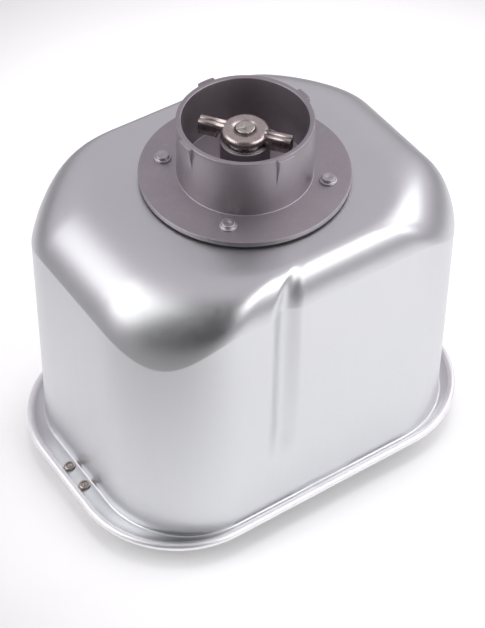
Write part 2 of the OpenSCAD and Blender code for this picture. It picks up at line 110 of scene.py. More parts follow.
BEAD_END = degrees(asin((BEAD_R - STRIP_Z + SHEET_T) / BEAD_R)) - 180
STRIP_END = RIM_HALF_L - BEAD_R + BEAD_R * cos(radians(BEAD_START))
BRACKET_RIVET_X = (HALF_L + FILLET_MAX + STRIP_END) / 2


# ---------------------------------------------------------------- small helpers
def ease(x):
    """A smooth step from 0 to 1."""
    c = min(max(x, 0.0), 1.0)
    return c * c * (3 - 2 * c)


def put(bm, name, body, slot, materials, *nodes):
    """Makes a finished piece of a bmesh drawn in millimetres."""
    bmesh.ops.remove_doubles(bm, verts=bm.verts, dist=MERGE)
    bmesh.ops.recalc_face_normals(bm, faces=bm.faces)
    bmesh.ops.scale(bm, vec=(MM, MM, MM), verts=bm.verts)
    mesh = bpy.data.meshes.new(name)
    bm.to_mesh(mesh)
    bm.free()
    for material in materials:
        mesh.materials.append(material)
    mesh.polygons.foreach_set("use_smooth", [True] * len(mesh.polygons))
    piece = bpy.data.objects.new(name, mesh)
    bpy.context.scene.collection.objects.link(piece)
    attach(piece, body)
    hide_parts(*nodes)


def ring_profile(points):
    """A closed outline in the plane of radius and height, ready to be spun."""
    bm = bmesh.new()
    verts = [bm.verts.new((r, 0, z)) for r, z in points]
    for a, b in zip(verts, verts[1:] + verts[:1]):
        bm.edges.new((a, b))
    return bm


def spin(bm, steps):
    """Turns an outline once round the upright axis."""
    bmesh.ops.spin(
        bm,
        geom=bm.verts[:] + bm.edges[:],
        cent=(0, 0, 0),
        axis=(0, 0, 1),
        dvec=(0, 0, 0),
        angle=2 * pi,
        steps=steps,
        use_merge=True,
        use_duplicate=False,
    )
    bmesh.ops.remove_doubles(bm, verts=bm.verts, dist=MERGE)
    bmesh.ops.recalc_face_normals(bm, faces=bm.faces)


def round_edges(bm, offset, segments, least=radians(28), where=None):
    """Rounds the edges whose faces meet at more than the least angle."""
    sharp = [
        e
        for e in bm.edges
        if len(e.link_faces) == 2
        and e.calc_face_angle(0) > least
        and (where is None or where(e))
    ]
    bmesh.ops.bevel(
        bm,
        geom=sharp,
        offset=offset,
        offset_type="OFFSET",
        affect="EDGES",
        segments=segments,
        profile=0.5,
        material=-1,
        clamp_overlap=True,
    )


def arc(cx, cz, r, a0, a1, steps):
    """Points of an arc in the plane of radius and height, angles in degrees."""
    turns = [radians(a0 + (a1 - a0) * k / steps) for k in range(steps + 1)]
    return [(cx + r * cos(a), cz + r * sin(a)) for a in turns]


def lying_bar(bm, centre, radius, length, sides):
    """A round closed bar that lies along X."""
    turn = Vector((0, 0, 1)).rotation_difference(Vector((1, 0, 0))).to_matrix().to_4x4()
    bmesh.ops.create_cone(
        bm,
        cap_ends=True,
        segments=sides,
        radius1=radius,
        radius2=radius,
        depth=length,
        matrix=Matrix.Translation(centre) @ turn,
    )


# ---------------------------------------------------------------- materials
class Finish:
    """A node material with a principled surface, built one step at a time."""

    def __init__(self, name):
        self.material = bpy.data.materials.new(name)
        self.material.use_nodes = True
        self.tree = self.material.node_tree
        self.tree.nodes.clear()
        self.out = self.add("ShaderNodeOutputMaterial")
        self.surface = self.add("ShaderNodeBsdfPrincipled")
        self.join(self.surface.outputs["BSDF"], self.out.inputs["Surface"])
        self.coords = self.add("ShaderNodeTexCoord").outputs["Object"]
        self.normal = None

    def add(self, kind, **settings):
        node = self.tree.nodes.new(kind)
        for key, value in settings.items():
            setattr(node, key, value)
        return node

    def join(self, a, b):
        self.tree.links.new(a, b)

    def set(self, **values):
        """Sets plain values of the surface."""
        for key, value in values.items():
            socket = self.surface.inputs[key.replace("_", " ")]
            socket.default_value = (*value, 1.0) if isinstance(value, tuple) else value
        return self

    def noise(self, scale, detail=3.0, rough=0.55, stretch=(1, 1, 1)):
        """Fractal noise in object space. The scale is in features per metre."""
        mapping = self.add("ShaderNodeMapping")
        mapping.inputs["Scale"].default_value = stretch
        self.join(self.coords, mapping.inputs["Vector"])
        noise = self.add("ShaderNodeTexNoise")
        noise.inputs["Scale"].default_value = scale
        noise.inputs["Detail"].default_value = detail
        noise.inputs["Roughness"].default_value = rough
        self.join(mapping.outputs["Vector"], noise.inputs["Vector"])
        return noise.outputs["Fac"]

    def spots(self, scale, randomness=1.0):
        """Distance to scattered points, for pits and blast marks."""
        cells = self.add("ShaderNodeTexVoronoi")
        cells.inputs["Scale"].default_value = scale
        cells.inputs["Randomness"].default_value = randomness
        self.join(self.coords, cells.inputs["Vector"])
        return cells.outputs["Distance"]

    def ramp(self, source, low, high, out_low=0.0, out_high=1.0):
        """Carries a value from one range to another, with its ends held."""
        node = self.add("ShaderNodeMapRange")
        node.inputs["From Min"].default_value = low
        node.inputs["From Max"].default_value = high
        node.inputs["To Min"].default_value = out_low
        node.inputs["To Max"].default_value = out_high
        self.join(source, node.inputs["Value"])
        return node.outputs["Result"]

    def maths(self, operation, a, b):
        """Puts two values together, each a number or a socket."""
        node = self.add("ShaderNodeMath", operation=operation)
        for socket, value in zip(node.inputs, (a, b)):
            if isinstance(value, (int, float)):
                socket.default_value = value
            else:
                self.join(value, socket)
        return node.outputs["Value"]

    def mix(self, factor, a, b):
        """Blends two colours, each a tuple or a socket."""
        node = self.add("ShaderNodeMix", data_type="RGBA")
        sockets = (node.inputs[0], node.inputs[6], node.inputs[7])
        for socket, value in zip(sockets, (factor, a, b)):
            if isinstance(value, tuple):
                socket.default_value = (*value, 1.0)
            elif isinstance(value, (int, float)):
                socket.default_value = value
            else:
                self.join(value, socket)
        return node.outputs[2]

    def bump(self, height, distance, strength=1.0):
        """Stacks relief on what is there. The distance is in metres."""
        node = self.add("ShaderNodeBump")
        node.inputs["Strength"].default_value = strength
        node.inputs["Distance"].default_value = distance
        self.join(height, node.inputs["Height"])
        if self.normal:
            self.join(self.normal, node.inputs["Normal"])
        self.normal = node.outputs["Normal"]
        self.join(self.normal, self.surface.inputs["Normal"])

    def drive(self, key, source):
        """Lets a pattern set one of the surface's inputs."""
        self.join(source, self.surface.inputs[key])


def satin_pan():
    """Deep drawn sheet with a fine blasted satin and faint upright draw lines."""
    f = Finish("satin aluminium sheet").set(Metallic=1.0)
    grain = f.noise(2600, 2.0, 0.6)
    cloud = f.noise(18, 3.0, 0.5)
    draw = f.noise(520, 3.0, 0.6, (1.0, 1.0, 0.035))
    rough = f.ramp(cloud, 0.3, 0.7, 0.33, 0.38)
    rough = f.maths("ADD", rough, f.ramp(grain, 0.3, 0.7, -0.03, 0.03))
    f.drive("Roughness", f.maths("ADD", rough, f.ramp(draw, 0.3, 0.7, -0.02, 0.02)))
    tone = f.mix(f.ramp(cloud, 0.3, 0.7), (0.660, 0.675, 0.688), (0.690, 0.702, 0.712))
    f.drive("Base Color", f.mix(f.ramp(grain, 0.35, 0.65, 0.0, 0.35), tone, (0.62, 0.63, 0.64)))
    f.bump(grain, 0.00002, 0.6)
    f.bump(draw, 0.00002, 0.25)
    return f.material


def bead_with_painted_sheen():
    """The bead, its colour made paler than the sheet's as a painted highlight, with fine marks along it.
    """
    f = Finish("bead with painted sheen").set(Metallic=1.0)
    cloud = f.noise(60, 3.0, 0.6)
    marks = f.noise(900, 3.0, 0.6, (1.0, 1.0, 3.0))
    # Painted highlight: the pale colour stands for the bright band of light along the bead; only the
    # fine marks are its own
    f.drive("Base Color", f.mix(f.ramp(cloud, 0.3, 0.7), (0.86, 0.86, 0.88), (0.93, 0.93, 0.94)))
    f.drive("Roughness", f.ramp(marks, 0.3, 0.7, 0.40, 0.50))
    f.bump(marks, 0.00001, 0.4)
    return f.material


def non_stick():
    """Dark baked coat of the pan's inside, with a fine speckle."""
    f = Finish("dark non-stick coat").set(Metallic=0.0)
    f.surface.inputs["Specular IOR Level"].default_value = 0.45
    speckle = f.noise(1800, 2.0, 0.7)
    cloud = f.noise(25, 2.0, 0.5)
    tone = f.mix(f.ramp(cloud, 0.3, 0.7), (0.060, 0.060, 0.063), (0.078, 0.078, 0.080))
    f.drive("Base Color", f.mix(f.ramp(speckle, 0.60, 0.70, 0.0, 0.5), tone, (0.22, 0.22, 0.22)))
    f.drive("Roughness", f.ramp(speckle, 0.3, 0.7, 0.38, 0.50))
    f.bump(speckle, 0.00003, 0.5)
    return f.material


def blasted_casting():
    """Die casting, blasted: fine even grain, pale in scattered rubbed patches."""
    f = Finish("blasted die casting").set(Metallic=1.0)
    grain = f.noise(3200, 3.0, 0.7)
    pits = f.spots(1500)
    cloud = f.noise(40, 4.0, 0.6)
    worn = f.ramp(f.noise(160, 4.0, 0.6), 0.62, 0.75, 0.0, 0.25)
    tone = f.mix(f.ramp(cloud, 0.3, 0.7), (0.400, 0.368, 0.395), (0.460, 0.425, 0.452))
    tone = f.mix(f.ramp(grain, 0.35, 0.65, 0.0, 0.30), tone, (0.250, 0.235, 0.250))
    f.drive("Base Color", f.mix(worn, tone, (0.52, 0.50, 0.52)))
    f.drive("Roughness", f.ramp(grain, 0.3, 0.7, 0.40, 0.52))
    f.bump(grain, 0.00005, 0.5)
    f.bump(pits, 0.00003, 0.3)
    return f.material


def rivet_metal():
    """Soft grey aluminium, dull from the press."""
    f = Finish("soft aluminium rivet").set(Metallic=0.9)
    grain = f.noise(2500, 3.0, 0.6)
    cloud = f.noise(300, 3.0, 0.6)
    f.drive("Base Color", f.mix(f.ramp(cloud, 0.3, 0.7), (0.42, 0.40, 0.42), (0.55, 0.53, 0.55)))
    f.drive("Roughness", f.ramp(grain, 0.3, 0.7, 0.35, 0.50))
    f.bump(grain, 0.00003, 0.5)
    return f.material


def plated(name, low, high, rough_low, rough_high, scratch=0.2):
    """Bright metal with small tone changes and fine scratches."""
    f = Finish(name).set(Metallic=1.0)
    cloud = f.noise(260, 4.0, 0.6)
    lines = f.noise(1400, 3.0, 0.6, (1.0, 0.06, 1.0))
    f.drive("Base Color", f.mix(f.ramp(cloud, 0.3, 0.7), low, high))
    rough = f.ramp(cloud, 0.3, 0.7, rough_low, rough_high)
    f.drive("Roughness", f.maths("ADD", rough, f.ramp(lines, 0.3, 0.7, -0.03, 0.03)))
    f.bump(lines, 0.00001, scratch)
    return f.material


def rubber(name, low, high):
    """Matt moulded rubber with a fine skin."""
    f = Finish(name).set(Metallic=0.0)
    f.surface.inputs["Specular IOR Level"].default_value = 0.35
    cloud = f.noise(400, 3.0, 0.6)
    fine = f.noise(3000, 2.0, 0.6)
    f.drive("Base Color", f.mix(f.ramp(cloud, 0.3, 0.7), low, high))
    f.drive("Roughness", f.ramp(fine, 0.3, 0.7, 0.60, 0.80))
    f.bump(fine, 0.00003, 0.5)
    return f.material


def bronze():
    """Sintered bearing bronze: open pores, dark with oil."""
    f = Finish("sintered bronze").set(Metallic=0.9)
    pores = f.spots(3500)
    cloud = f.noise(300, 3.0, 0.6)
    tone = f.mix(f.ramp(cloud, 0.3, 0.7), (0.42, 0.28, 0.12), (0.55, 0.38, 0.18))
    f.drive("Base Color", f.mix(f.ramp(pores, 0.05, 0.2, 0.7, 0.0), tone, (0.10, 0.07, 0.04)))
    f.drive("Roughness", f.ramp(pores, 0.1, 0.5, 0.55, 0.35))
    f.bump(pores, 0.00004, 0.6)
    return f.material


def felt():
    """Wool felt, soaked with oil."""
    f = Finish("oiled wool felt").set(Metallic=0.0)
    hairs = f.noise(2400, 5.0, 0.75)
    f.drive("Base Color", f.mix(f.ramp(hairs, 0.3, 0.7), (0.42, 0.36, 0.22), (0.62, 0.56, 0.40)))
    f.drive("Roughness", f.ramp(hairs, 0.3, 0.7, 0.80, 0.95))
    f.bump(hairs, 0.0001, 0.8)
    return f.material


SATIN = satin_pan()
COAT = non_stick()
PAINTED_SHEEN_BEAD = bead_with_painted_sheen()
CASTING = blasted_casting()
RIVET = rivet_metal()
COUPLING = plated("nickel plated coupling", (0.44, 0.385, 0.37), (0.54, 0.48, 0.46), 0.24, 0.34)
SHAFT = plated("ground shaft steel", (0.46, 0.43, 0.40), (0.58, 0.55, 0.51), 0.25, 0.38)
STAINLESS = plated("stainless pressing", (0.60, 0.60, 0.60), (0.70, 0.70, 0.69), 0.22, 0.32)
PLAIN = plated("plain oiled steel", (0.34, 0.34, 0.35), (0.46, 0.46, 0.47), 0.30, 0.42)
BRACKET = plated("bright pressed steel", (0.58, 0.58, 0.59), (0.68, 0.68, 0.69), 0.24, 0.36)
TUBE_RIVET = plated("tarnished tube rivet", (0.38, 0.33, 0.30), (0.56, 0.52, 0.49), 0.28, 0.42)
WIRE = plated("drawn steel wire", (0.58, 0.58, 0.59), (0.68, 0.68, 0.69), 0.18, 0.28)
GASKET = rubber("black gasket rubber", (0.020, 0.020, 0.022), (0.032, 0.032, 0.034))
SEAL = rubber("red silicone seal", (0.36, 0.07, 0.04), (0.44, 0.09, 0.05))
BRONZE = bronze()
FELT = felt()

FINISHES = {
    "base_gasket": GASKET,
    "lower_bush": BRONZE,
    "upper_bush": BRONZE,
    "oil_felt": FELT,
    "shaft_seal": SEAL,
    "seal_case": PLAIN,
    "seal_spring": PLAIN,
    "seal_retainer": STAINLESS,
    "shaft_circlip": PLAIN,
    "inner_washer": STAINLESS,
    "outer_washer": STAINLESS,
    "handle_bracket_left": BRACKET,
    "handle_bracket_right": BRACKET,
    "carry_handle": WIRE,
}
for name, material in FINISHES.items():
    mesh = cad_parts[name].data
    mesh.materials.clear()
    mesh.materials.append(material)


# ---------------------------------------------------------------- the pressed pan
# Mesh steps: round a corner, over a flute, along a straight, down the shoulder and round the bead
CORNER_STEPS = 24
FLUTE_STEPS = 20
STRAIGHT_STEPS = 6
SHOULDER_STEPS = 26
RISE_STEPS = 12
FILLET_STEPS = 6
BEAD_STEPS = 32
# Rows between the hole in the bottom and the shoulder, as shares of the way
FLAT_ROWS = (0.0, 0.25, 0.5, 0.75, 0.93)
# A row this far above the flute's upper end, and the plain rows below its foot
ABOVE_RISE = 6
LOW_ROWS = [20, 12, FILLET_MAX + STRIP_Z + 2.5]
# Finishes of the sheet, by their place in the piece's list of materials
SATIN_SLOT, COAT_SLOT, SHEEN_BEAD_SLOT = 0, 1, 2


def stations():
    """Round the pan: direction of the wall's normal, place on the straights, flute share."""
    flute_u = FLUTE_X / (HALF_L - WALL_CORNER_R)
    half_u = FLUTE_W / 2 / (HALF_L - WALL_CORNER_R)

    def corner(t0, u, v):
        return [(t0 + 90 * k / CORNER_STEPS, u, v, 0.0) for k in range(CORNER_STEPS + 1)]

    def end(t, u):
        return [(t, u, -u * (1 - 2 * k / STRAIGHT_STEPS), 0.0) for k in range(1, STRAIGHT_STEPS)]

    def side(t, v):
        first = v * flute_u + v * half_u
        last = v * flute_u - v * half_u
        before = [(t, v + (first - v) * k / STRAIGHT_STEPS, v, 0.0) for k in range(1, STRAIGHT_STEPS)]
        flute = [
            (t, first + (last - first) * k / FLUTE_STEPS, v, (1 - cos(2 * pi * k / FLUTE_STEPS)) / 2)
            for k in range(FLUTE_STEPS + 1)
        ]
        after = [(t, last + (-v - last) * k / STRAIGHT_STEPS, v, 0.0) for k in range(1, STRAIGHT_STEPS)]
        return before + flute + after

    round_pan = corner(0, 1, 1) + side(90, 1) + corner(90, -1, 1) + end(180, -1)
    return round_pan + corner(180, -1, -1) + side(270, -1) + corner(270, 1, -1) + end(0, 1)


def outline(a, b, r, s):
    """Place on a rounded rectangle of half sizes a and b and corner radius r."""
    t = radians(s[0])
    return Vector((s[1] * (a - r) + r * cos(t), s[2] * (b - r) + r * sin(t), 0))


def normal(s):
    """The wall's outward direction at a station."""
    return Vector((cos(radians(s[0])), sin(radians(s[0])), 0))


def drop(s):
    """How far the shoulder comes down: most at the ends, and more again at the corners."""
    t = radians(s[0])
    return END_DROP * cos(t) ** 2 + SIDE_DROP * sin(t) ** 2 + CORNER_DROP * sin(2 * t) ** 2


def shoulder_point(s, angle, inset):
    """Place on the shoulder, from 90 degrees at the flat bottom down to the crease."""
    a = radians(angle)
    d = 1 - cos(a)
    p = outline(
        HALF_L - inset - SHOULDER_END * d,
        HALF_W - inset - SHOULDER_SIDE * d,
        WALL_CORNER_R - inset + (FLAT_CORNER_R - WALL_CORNER_R) * d,
        s,
    )
    p -= normal(s) * FLUTE_DEPTH * s[3] * cos(a) ** 2
    p.z = PAN_TOP_Z - inset - drop(s) * (1 - sin(a))
    return p


def crease_height(s):
    """Height above the rim of the crease between wall and shoulder."""
    return PAN_H - drop(s) * (1 - sin(radians(CREASE_ANGLE)))


def wall_point(s, height, inset):
    """The walls lean in from the rim to the crease that ends the shoulder."""
    d = (1 - cos(radians(CREASE_ANGLE))) * height / crease_height(s)
    p = outline(
        HALF_L - inset - SHOULDER_END * d,
        HALF_W - inset - SHOULDER_SIDE * d,
        WALL_CORNER_R - inset + (FLAT_CORNER_R - WALL_CORNER_R) * d,
        s,
    )
    p -= normal(s) * FLUTE_DEPTH * s[3] * ease((height - FLUTE_FOOT) / FLUTE_RISE)
    p.z = RIM_Z + height
    return p


def bead_point(s, angle):
    """Place round the rolled bead."""
    f = radians(angle)
    p = outline(RIM_HALF_L - BEAD_R, RIM_HALF_W - BEAD_R, RIM_CORNER_R - BEAD_R, s)
    p += normal(s) * BEAD_R * cos(f)
    p.z = RIM_Z + BEAD_R + BEAD_R * sin(f)
    return p


def fillet_point(s, angle, inset):
    """Place on the small bend between the wall and the rim's strip."""
    wall = outline(HALF_L, HALF_W, WALL_CORNER_R, s)
    edge = bead_point(s, 180)
    f = min(FILLET_MAX, 0.8 * hypot(edge.x - wall.x, edge.y - wall.y))
    a = radians(angle)
    r = f + inset
    p = wall + normal(s) * (f - r * cos(a))
    p.z = RIM_Z + STRIP_Z + f - r * sin(a)
    return p


def sheet_section():
    """The sheet's section from the hole in the bottom, out and down to the bead, and back inside.

    Each row is a function of the station, with the row's finish.
    """
    hole = SPIGOT_R + SPIGOT_GAP
    angles = [90 - (90 - CREASE_ANGLE) * k / SHOULDER_STEPS for k in range(SHOULDER_STEPS)]
    angles += [CREASE_ANGLE + 1, CREASE_ANGLE]
    heights = [FLUTE_FOOT + FLUTE_RISE + ABOVE_RISE]
    heights += [FLUTE_FOOT + FLUTE_RISE * (1 - k / RISE_STEPS) for k in range(RISE_STEPS + 1)]
    heights += LOW_ROWS
    bends = [90 * k / FILLET_STEPS for k in range(FILLET_STEPS + 1)]
    section = []

    def flat(share, inset):
        def point(s):
            edge = shoulder_point(s, 90, inset)
            round_hole = Vector((edge.x, edge.y, 0)).normalized() * hole
            p = round_hole.lerp(Vector((edge.x, edge.y, 0)), share)
            p.z = PAN_TOP_Z - inset
            return p

        return point

    for share in FLAT_ROWS:
        section.append((flat(share, 0), SATIN_SLOT))
    for a in angles:
        section.append((lambda s, a=a: shoulder_point(s, a, 0), SATIN_SLOT))
    section.append((lambda s: wall_point(s, crease_height(s) - CREASE_ROUND, 0), SATIN_SLOT))
    for h in heights:
        section.append((lambda s, h=h: wall_point(s, h, 0), SATIN_SLOT))
    for a in bends:
        section.append((lambda s, a=a: fillet_point(s, a, 0), SATIN_SLOT))
    for k in range(BEAD_STEPS + 1):
        a = BEAD_START + (BEAD_END - BEAD_START) * k / BEAD_STEPS
        section.append((lambda s, a=a: bead_point(s, a), SHEEN_BEAD_SLOT))
    for a in reversed(bends):
        section.append((lambda s, a=a: fillet_point(s, a, SHEET_T), SATIN_SLOT if a else COAT_SLOT))
    for h in reversed(heights):
        section.append((lambda s, h=h: wall_point(s, h, SHEET_T), COAT_SLOT))
    for a in reversed(angles):
        section.append((lambda s, a=a: shoulder_point(s, a, SHEET_T), COAT_SLOT))
    for share in reversed(FLAT_ROWS):
        section.append((flat(share, SHEET_T), COAT_SLOT))
    return section


def pressed_pan():
    """A grid with a column for each station and a row for each place in the section."""
    around = stations()
    section = sheet_section()
    columns, rows = len(around), len(section)
    bm = bmesh.new()
    bmesh.ops.create_grid(bm, x_segments=columns, y_segments=rows, size=0.5)
    for face in bm.faces:
        row = int((face.calc_center_median().y + 0.5) * rows)
        face.material_index = section[row][1]
    for v in bm.verts:
        i = round((v.co.x + 0.5) * columns) % columns
        k = round((v.co.y + 0.5) * rows) % rows
        v.co = section[k][0](around[i])
    put(bm, "pressed_pan", "pan", "pan_aluminium", [SATIN, COAT, PAINTED_SHEEN_BEAD], "pan_shell")


pressed_pan()

# ---------------------------------------------------------------- the cast base
CAST_STEPS = 240
CAST_EDGE_R = 0.45
BUSH_SHOULDER = 0.9


def cast_base():
    """Flange, skirt with lugs, floor, hub and spigot, as one casting."""
    bm = ring_profile(
        [
            (BUSH_R, BUSH_Z),
            (BUSH_R + BUSH_SHOULDER, BUSH_Z),
            (BUSH_R + BUSH_SHOULDER, SEAL_TOP_Z),
            (SEAL_R, SEAL_TOP_Z),
            (SEAL_R, SPIGOT_Z),
            (SPIGOT_R, SPIGOT_Z),
            (SPIGOT_R, FLANGE_Z),
            (FLANGE_R, FLANGE_Z),
            (FLANGE_R, FLANGE_TOP_Z),
            (SKIRT_R, FLANGE_TOP_Z),
            (SKIRT_R, SKIRT_TOP_Z - LUG_H),
            (SKIRT_R, SKIRT_TOP_Z - LUG_FACE_H),
            (SKIRT_R, SKIRT_TOP_Z),
            (SKIRT_R - SKIRT_T, SKIRT_TOP_Z),
            (SKIRT_R - SKIRT_T, FLOOR_Z),
            (HUB_R, FLOOR_Z),
            (HUB_R, HUB_TOP_Z),
            (BUSH_R, HUB_TOP_Z),
        ]
    )
    spin(bm, CAST_STEPS)
    half = radians(LUG_ANGLE / 2) + 0.001

    def on_lug(face):
        c = face.calc_center_median()
        turn = atan2(c.y, c.x) % (2 * pi / LUG_COUNT)
        near = min(turn, 2 * pi / LUG_COUNT - turn)
        high = SKIRT_TOP_Z - LUG_H < c.z < SKIRT_TOP_Z
        return near < half and high and abs(hypot(c.x, c.y) - SKIRT_R) < 0.3

    lugs = bmesh.ops.extrude_face_region(bm, geom=[f for f in bm.faces if on_lug(f)])
    grown = [v for v in lugs["geom"] if isinstance(v, bmesh.types.BMVert)]
    for v in grown:
        out = Vector((v.co.x, v.co.y, 0)).normalized()
        slope = (v.co.z - SKIRT_TOP_Z + LUG_H) / (LUG_H - LUG_FACE_H)
        v.co += out * LUG_OUT * min(max(slope, 0.0), 1.0)
    bmesh.ops.remove_doubles(bm, verts=bm.verts, dist=MERGE)
    bmesh.ops.recalc_face_normals(bm, faces=bm.faces)

    def outside(e):
        return all(v.co.z > FLANGE_Z - 0.1 for v in e.verts) and all(
            hypot(v.co.x, v.co.y) > BUSH_R + 0.5 for v in e.verts
        )

    round_edges(bm, CAST_EDGE_R, 3, where=outside)
    put(bm, "cast_base", "pan", "cast_aluminium", [CASTING], "drive_base")


cast_base()


# ---------------------------------------------------------------- rivets
def copies(bm, places):
    """Leaves a copy of what is drawn at each place, and takes the first away."""
    first = bm.verts[:] + bm.edges[:] + bm.faces[:]
    for place in places:
        made = bmesh.ops.duplicate(bm, geom=first)["geom"]
        verts = [v for v in made if isinstance(v, bmesh.types.BMVert)]
        bmesh.ops.transform(bm, matrix=place, verts=verts)
    bmesh.ops.delete(bm, geom=[v for v in first if isinstance(v, bmesh.types.BMVert)], context="VERTS")


def base_rivets():
    """Rivets with a stepped head outside and a flat one on the pan's inside."""
    inner_z = PAN_TOP_Z - SHEET_T
    wide = HEAD_R + 0.4
    top = HEAD_R - 0.9
    head_z = FLANGE_TOP_Z + 0.7
    bm = ring_profile(
        [
            (0.05, inner_z - 1.2),
            (wide - 0.5, inner_z - 1.2),
            (wide, inner_z - 0.7),
            (wide, inner_z),
            (RIVET_R, inner_z),
            (RIVET_R, FLANGE_TOP_Z),
            (HEAD_R, FLANGE_TOP_Z),
        ]
        + arc(HEAD_R - 0.35, head_z - 0.35, 0.35, 0, 90, 4)
        + [(top + 0.5, head_z), (top + 0.2, head_z + 0.15)]
        + arc(top - 0.45, FLANGE_TOP_Z + HEAD_H - 0.45, 0.45, 0, 90, 4)
        + [(0.05, FLANGE_TOP_Z + HEAD_H - 0.12)]
    )
    spin(bm, 40)
    round_edges(bm, 0.08, 1, radians(50))
    half_step = pi / RIVET_COUNT
    places = [
        Matrix.Rotation(half_step + 2 * pi * k / RIVET_COUNT, 4, "Z")
        @ Matrix.Translation((RIVET_PCD / 2, 0, 0))
        for k in range(RIVET_COUNT)
    ]
    copies(bm, places)
    put(bm, "base_rivet_set", "pan", "rivet_aluminium", [RIVET], "base_rivets")


base_rivets()


def bracket_rivets():
    """Blind rivets: a domed head round the stub of its pin, and a set end under the bracket."""
    strip = RIM_Z + STRIP_Z
    foot = strip - SHEET_T - BRACKET_T
    head, hole, pin = BRACKET_RIVET_R + 1.2, BRACKET_RIVET_R + 0.1, 1.3
    set_end = BRACKET_RIVET_R + 0.7
    bm = ring_profile(
        [(0.05, foot - 1.4), (set_end - 0.6, foot - 1.4), (set_end - 0.15, foot - 1.15)]
        + [(set_end, foot - 0.8), (set_end, foot), (BRACKET_RIVET_R, foot), (BRACKET_RIVET_R, strip)]
        + [(head, strip), (head, strip + 0.25), (head - 0.12, strip + 0.6), (head - 0.4, strip + 0.9)]
        + [(head - 0.75, strip + 1.07), (head - 0.95, strip + 1.1), (hole + 0.06, strip + 1.04)]
        + [(hole, strip + 0.95), (hole, strip + 0.2), (pin, strip + 0.2)]
        + [(pin, strip + 0.75), (pin - 0.1, strip + 0.87), (pin - 0.3, strip + 0.9), (0.05, strip + 0.9)]
    )
    spin(bm, 40)
    rows = [BRACKET_RIVET_SHIFT + k * BRACKET_RIVET_GAP / 2 for k in (-1, 1)]
    places = [Matrix.Translation((side * BRACKET_RIVET_X, y, 0)) for side in (-1, 1) for y in rows]
    copies(bm, places)
    put(bm, "bracket_rivet_set", "pan", "rivet_steel", [TUBE_RIVET], "bracket_rivets")


bracket_rivets()


# ---------------------------------------------------------------- coupling and shaft
TURNED_STEPS = 96
RAIL_STEPS = 28
NOTCH_HALF_ANGLE = 9


def coupling():
    """A disc with a round rim, and two wings with a round rail along each edge."""
    edge = DISC_T / 2
    bore = SHAFT_R + 0.02
    bm = ring_profile(
        [(bore, COUPLING_Z), (HUB_R - 3, COUPLING_Z), (HUB_R - 3, DISC_Z)]
        + arc(DISC_R - edge, DISC_Z + edge, edge, -90, 90, 16)
        + [(bore, DISC_TOP_Z)]
    )
    spin(bm, TURNED_STEPS)
    rail = 1.35
    root, tip = DISC_R - 1.5, WING_SPAN / 2
    under = HUB_R + 1.2
    for side in (0, 1):
        turn = Matrix.Rotation(radians(WING_TURN + 180 * side), 4, "Z")
        wing = bmesh.new()
        for x0, x1, z0, z1 in (
            (root, tip, DISC_Z, DISC_TOP_Z - rail),
            (under, tip, DISC_TOP_Z - WING_H, DISC_TOP_Z - rail),
        ):
            place = Matrix.Translation(((x0 + x1) / 2, 0, (z0 + z1) / 2))
            size = Matrix.Diagonal((x1 - x0, WING_W, z1 - z0, 1))
            bmesh.ops.create_cube(wing, size=1, matrix=place @ size)
        round_edges(wing, 0.3, 2, radians(60))
        for y in (-1, 1):
            centre = Vector(((root + tip) / 2, y * (WING_W / 2 - rail), DISC_TOP_Z - rail))
            lying_bar(wing, centre, rail, tip - root, RAIL_STEPS)
        ends = [
            e
            for e in wing.edges
            if len(e.link_faces) == 2
            and e.calc_face_angle(0) > radians(60)
            and all(abs(v.co.x - tip) < 0.01 for v in e.verts)
            and any(v.co.z > DISC_TOP_Z - rail + 0.01 for v in e.verts)
        ]
        bmesh.ops.bevel(
            wing, geom=ends, offset=0.35, affect="EDGES", segments=3, profile=0.5, material=-1
        )
        bmesh.ops.transform(wing, matrix=turn, verts=wing.verts)
        part = bpy.data.meshes.new("wing")
        wing.to_mesh(part)
        wing.free()
        bm.from_mesh(part)
        bpy.data.meshes.remove(part)
    put(bm, "winged_coupling", "spindle", "coupling_metal", [COUPLING], "drive_coupling")


coupling()


def shaft():
    """The shaft: a flat at the blade's end, two grooves, and a staked head with four notches."""
    groove = BUSH_Z - 2 * END_GAP - 2 * WASHER_T
    seat = SPIGOT_Z - 0.8 - SEAT_GROOVE_W
    nose = 0.8
    top = DISC_TOP_Z
    bm = ring_profile(
        [(0.02, SHAFT_Z), (SHAFT_R - nose, SHAFT_Z), (SHAFT_R, SHAFT_Z + nose)]
        + [(SHAFT_R, SHAFT_Z + BLADE_FLAT_L), (SHAFT_R, seat), (SHAFT_R - SEAT_GROOVE_DEPTH, seat)]
        + [(SHAFT_R - SEAT_GROOVE_DEPTH, seat + SEAT_GROOVE_W), (SHAFT_R, seat + SEAT_GROOVE_W)]
        + [(SHAFT_R, groove), (SHAFT_R - 0.6, groove)]
        + [(SHAFT_R - 0.6, groove + WASHER_T), (SHAFT_R, groove + WASHER_T), (SHAFT_R, top)]
        + [(STAKE_R, top), (STAKE_R - 0.12, top + 0.35), (STAKE_R - 0.5, top + STAKE_H)]
        + [(STAKE_R - 1.1, top + STAKE_H), (STAKE_R - 1.9, top + 0.3), (0.02, top + 0.2)]
    )
    spin(bm, TURNED_STEPS)
    for v in bm.verts:
        if v.co.z < SHAFT_Z + BLADE_FLAT_L + 0.01:
            v.co.x = min(v.co.x, FLAT_FROM_AXIS)
        reach = hypot(v.co.x, v.co.y)
        if v.co.z > top + 0.1 and 2.0 < reach < STAKE_R - 0.2:
            turn = (degrees(atan2(v.co.y, v.co.x)) - WING_TURN - 45) % 90
            if min(turn, 90 - turn) < NOTCH_HALF_ANGLE:
                v.co.z = top + 0.08
    round_edges(bm, 0.06, 1, radians(40))
    put(bm, "staked_shaft", "spindle", "shaft_steel", [SHAFT], "drive_shaft")


shaft()

